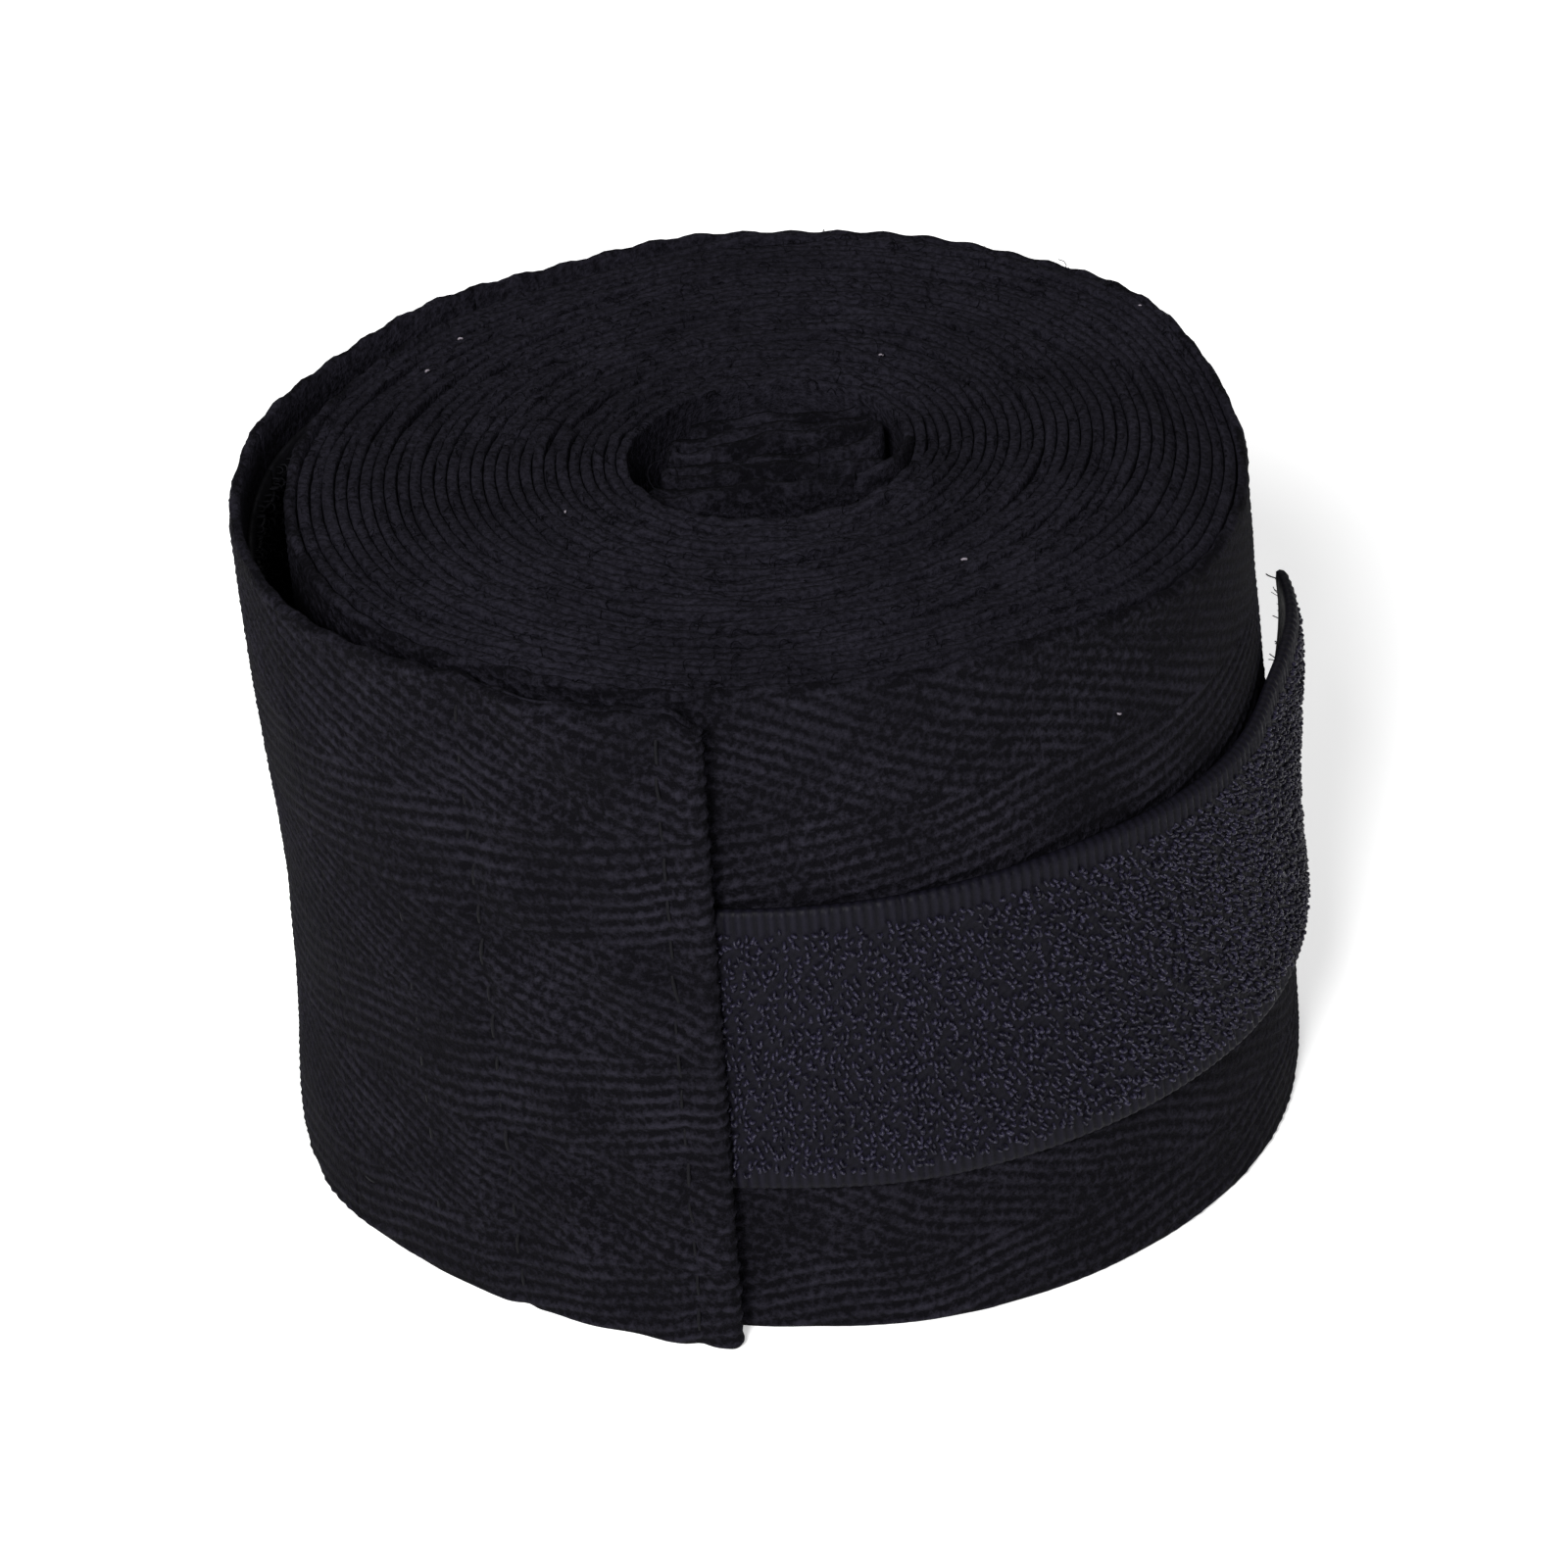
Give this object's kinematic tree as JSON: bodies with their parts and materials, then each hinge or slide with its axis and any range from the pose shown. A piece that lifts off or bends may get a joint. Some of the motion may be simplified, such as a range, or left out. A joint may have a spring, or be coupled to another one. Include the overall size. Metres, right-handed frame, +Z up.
{
  "type": "rolled hand wrap",
  "caption": "Rolled cotton hand wrap for boxing, standing on its edge, with a turned hem, a hook strap that peels off and a tail that unrolls.",
  "frame": {"origin": "on the roll's axis, at the surface that the roll stands on", "axes": "+Z up along the roll's axis and across the webbing's width; the hem edge faces the front, -Y, and the strap runs from it towards +X"},
  "size_m": [0.0702, 0.0671, 0.05],
  "materials": {
    "webbing": "matte black herringbone cotton webbing",
    "loop_tape": "matte black cotton tape",
    "loop_patch": "matte black brushed loop pile",
    "thread": "black polyester sewing thread",
    "strap_tape": "satin black woven polyamide tape",
    "hooks": "glossy black polyamide hooks"
  },
  "bodies": {
    "roll": {"inner_turns": "webbing", "outer_turn": "webbing", "core_fold": "webbing", "thumb_loop": "loop_tape", "thumb_loop_tack": "thread"},
    "tail_rear": {"tail_rear": "webbing", "loop_patch_rear": "loop_patch", "patch_seam_rear": "thread"},
    "tail_middle": {"tail_middle": "webbing", "loop_patch_front": "loop_patch", "patch_seam_front": "thread"},
    "hem": {"hem_face": "webbing", "hem_turned_end": "webbing", "strap_root": "strap_tape", "hem_edge_seam": "thread", "hem_rear_seam": "thread"},
    "strap_near": {"strap_near": "strap_tape", "strap_near_hooks": "hooks"},
    "strap_middle": {"strap_middle": "strap_tape", "strap_middle_hooks": "hooks"},
    "strap_tip": {"strap_tip": "strap_tape", "strap_tip_hooks": "hooks"}
  },
  "joints": [
    {"name": "tail_unroll", "type": "hinge", "parent": "roll", "child": "tail_rear", "pos_m": [-0.02985, 0.01723, 0.025], "axis": [0, 0, -1], "range_deg": [0, 19]},
    {"name": "tail_middle_bend", "type": "hinge", "parent": "tail_rear", "child": "tail_middle", "pos_m": [-0.03397, -0.00599, 0.025], "axis": [0, 0, -1], "range_deg": [0, 31]},
    {"name": "hem_bend", "type": "hinge", "parent": "tail_middle", "child": "hem", "pos_m": [-0.02312, -0.02568, 0.025], "axis": [0, 0, -1], "range_deg": [0, 39]},
    {"name": "strap_peel", "type": "hinge", "parent": "hem", "child": "strap_near", "pos_m": [-0.00276, -0.03302, 0.025], "axis": [0, 0, -1], "range_deg": [0, 90]},
    {"name": "strap_middle_bend", "type": "hinge", "parent": "strap_near", "child": "strap_middle", "pos_m": [0.01712, -0.02851, 0.025], "axis": [0, 0, -1], "range_deg": [0, 37]},
    {"name": "strap_tip_bend", "type": "hinge", "parent": "strap_middle", "child": "strap_tip", "pos_m": [0.03117, -0.0134, 0.025], "axis": [0, 0, -1], "range_deg": [0, 37]}
  ],
  "couplings": [
    {"joint": "tail_middle_bend", "follows": "tail_unroll", "ratio": 1.6},
    {"joint": "hem_bend", "follows": "tail_unroll", "ratio": 2},
    {"joint": "strap_middle_bend", "follows": "strap_peel", "ratio": 0.4},
    {"joint": "strap_tip_bend", "follows": "strap_peel", "ratio": 0.4}
  ]
}
